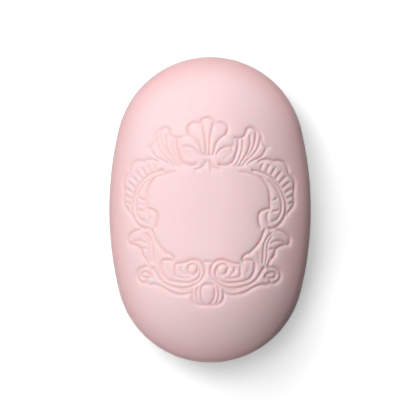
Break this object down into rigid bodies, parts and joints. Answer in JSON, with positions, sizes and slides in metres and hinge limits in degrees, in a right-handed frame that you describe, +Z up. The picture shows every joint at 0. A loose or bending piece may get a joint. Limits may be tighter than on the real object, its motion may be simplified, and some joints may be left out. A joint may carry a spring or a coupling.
{
  "type": "bar of soap",
  "caption": "Oval pressed bar of soap with domed faces, a flat foot to rest on and a shallow carved scroll cartouche on its upper face.",
  "frame": {"origin": "middle of the flat foot that the bar rests on", "axes": "+X across the bar, +Y along its length towards the crest of the cartouche, +Z up out of the carved face"},
  "size_m": [0.0594, 0.09, 0.033],
  "materials": {
    "soap": "satin, smooth pressed pink soap"
  },
  "bodies": {
    "root": {"soap_bar": "soap"}
  },
  "joints": []
}
